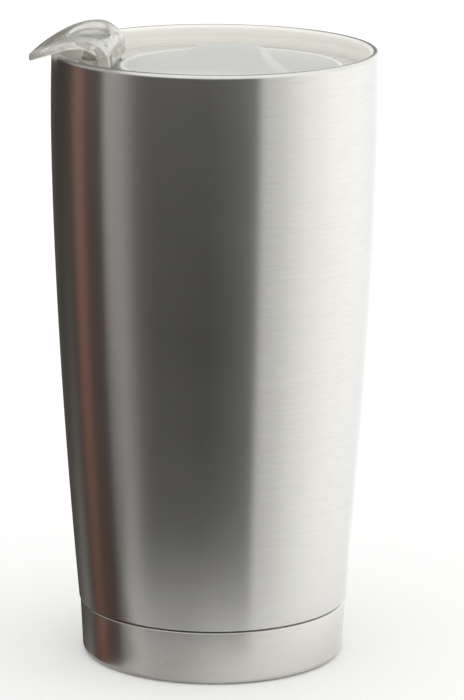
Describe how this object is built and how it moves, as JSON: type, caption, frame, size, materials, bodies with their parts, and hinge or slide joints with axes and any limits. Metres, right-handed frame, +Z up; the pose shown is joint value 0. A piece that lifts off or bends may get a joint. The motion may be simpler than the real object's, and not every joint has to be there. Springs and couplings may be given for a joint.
{
  "type": "insulated tumbler",
  "caption": "Double-wall steel drinking tumbler with a seam above its base cap and a clear press-in lid that has a hinged beak-shaped sip lever.",
  "frame": {"origin": "centre of the flat face under the base, on the tumbler's axis", "axes": "+Z up along the tumbler's axis, -X towards the drinking side, where the lever reaches over the lip; +Y completes a right-handed frame along the lever's hinge pin"},
  "size_m": [0.0948, 0.0888, 0.1727],
  "materials": {
    "shell_steel": "horizontally brushed",
    "liner_steel": "satin, electropolished",
    "bottom_steel": "plain rolled sheet",
    "seal_glass": "fused glass bead",
    "getter_metal": "pressed powder",
    "cap_steel": "brushed round",
    "lid_clear": "clear polished plastic",
    "gasket_silicone": "translucent silicone",
    "panel_plastic": "pale grey translucent plastic",
    "pin_clear": "clear polished plastic",
    "lever_clear": "clear polished plastic",
    "seal_silicone": "soft white silicone"
  },
  "bodies": {
    "vessel": {"outer_shell": "shell_steel", "inner_liner": "liner_steel", "vacuum_bottom": "bottom_steel", "vacuum_seal": "seal_glass", "getter": "getter_metal", "base_cap": "cap_steel"},
    "lid": {"lid_body": "lid_clear", "lid_gasket": "gasket_silicone", "lid_panel": "panel_plastic", "hinge_pin": "pin_clear"},
    "lever": {"flip_lever": "lever_clear", "plug_seal": "seal_silicone"}
  },
  "joints": [
    {"name": "lid_lift", "type": "slide", "parent": "vessel", "child": "lid", "axis": [0, 0, 1], "range_m": [0, 0.05]},
    {"name": "lever_hinge", "type": "hinge", "parent": "lid", "child": "lever", "pos_m": [-0.0291, 0, 0.1678], "axis": [0, 1, 0], "range_deg": [0, 105]}
  ]
}
